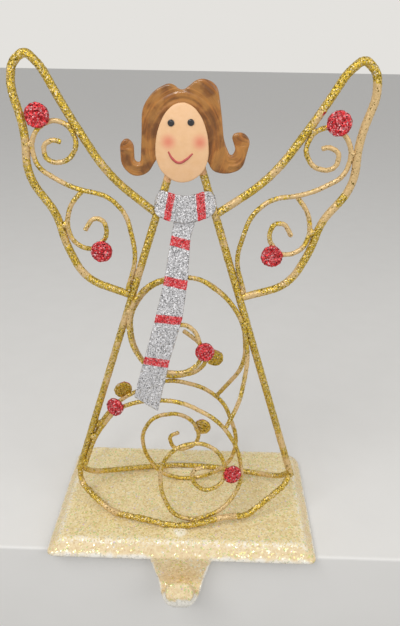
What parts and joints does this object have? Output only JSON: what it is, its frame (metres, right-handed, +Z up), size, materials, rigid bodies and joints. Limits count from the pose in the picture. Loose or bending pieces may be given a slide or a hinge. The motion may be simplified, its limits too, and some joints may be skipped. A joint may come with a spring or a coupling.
{
  "type": "mantel stocking holder",
  "caption": "Weighted stocking holder for a mantel shelf: a flat bevelled base with a hook on its front edge, and a wire angel with scroll wings, scarf and berry discs.",
  "frame": {"origin": "on the shelf's top face, under the middle of the base", "axes": "+X to the right as the angel is faced, +Y towards the wall behind the shelf, +Z up"},
  "size_m": [0.1467, 0.094, 0.2445],
  "materials": {
    "cream_casting": "cream paint with fine iridescent glitter, worn white along the edges",
    "felt": "thin dark felt",
    "gold_wire": "gold paint with glitter, bare tan patches",
    "red_disc": "red paint with glitter",
    "brown_hair": "glossy brown paint with brushed strands",
    "flesh_face": "matt flesh paint with a painted face",
    "silver_scarf": "silver glitter with red glitter stripes"
  },
  "bodies": {
    "root": {"base_casting": "cream_casting", "base_pad": "felt", "body_frame": "gold_wire", "front_hem": "gold_wire", "rear_hem": "gold_wire", "left_wing_outline": "gold_wire", "right_wing_outline": "gold_wire", "left_wing_long_scroll": "gold_wire", "right_wing_long_scroll": "gold_wire", "left_wing_small_scroll": "gold_wire", "right_wing_small_scroll": "gold_wire", "front_upper_scroll": "gold_wire", "front_lower_scroll": "gold_wire", "rear_upper_scroll": "gold_wire", "rear_lower_scroll": "gold_wire", "left_wing_upper_berry": "red_disc", "left_wing_lower_berry": "red_disc", "right_wing_upper_berry": "red_disc", "right_wing_lower_berry": "red_disc", "front_skirt_upper_berry": "red_disc", "front_skirt_middle_berry": "red_disc", "front_skirt_lower_berry": "red_disc", "rear_skirt_upper_berry": "red_disc", "rear_skirt_middle_berry": "red_disc", "rear_skirt_lower_berry": "red_disc", "hair_plate": "brown_hair", "face_plate": "flesh_face", "scarf_collar": "silver_scarf", "scarf_tail": "silver_scarf"}
  },
  "joints": []
}
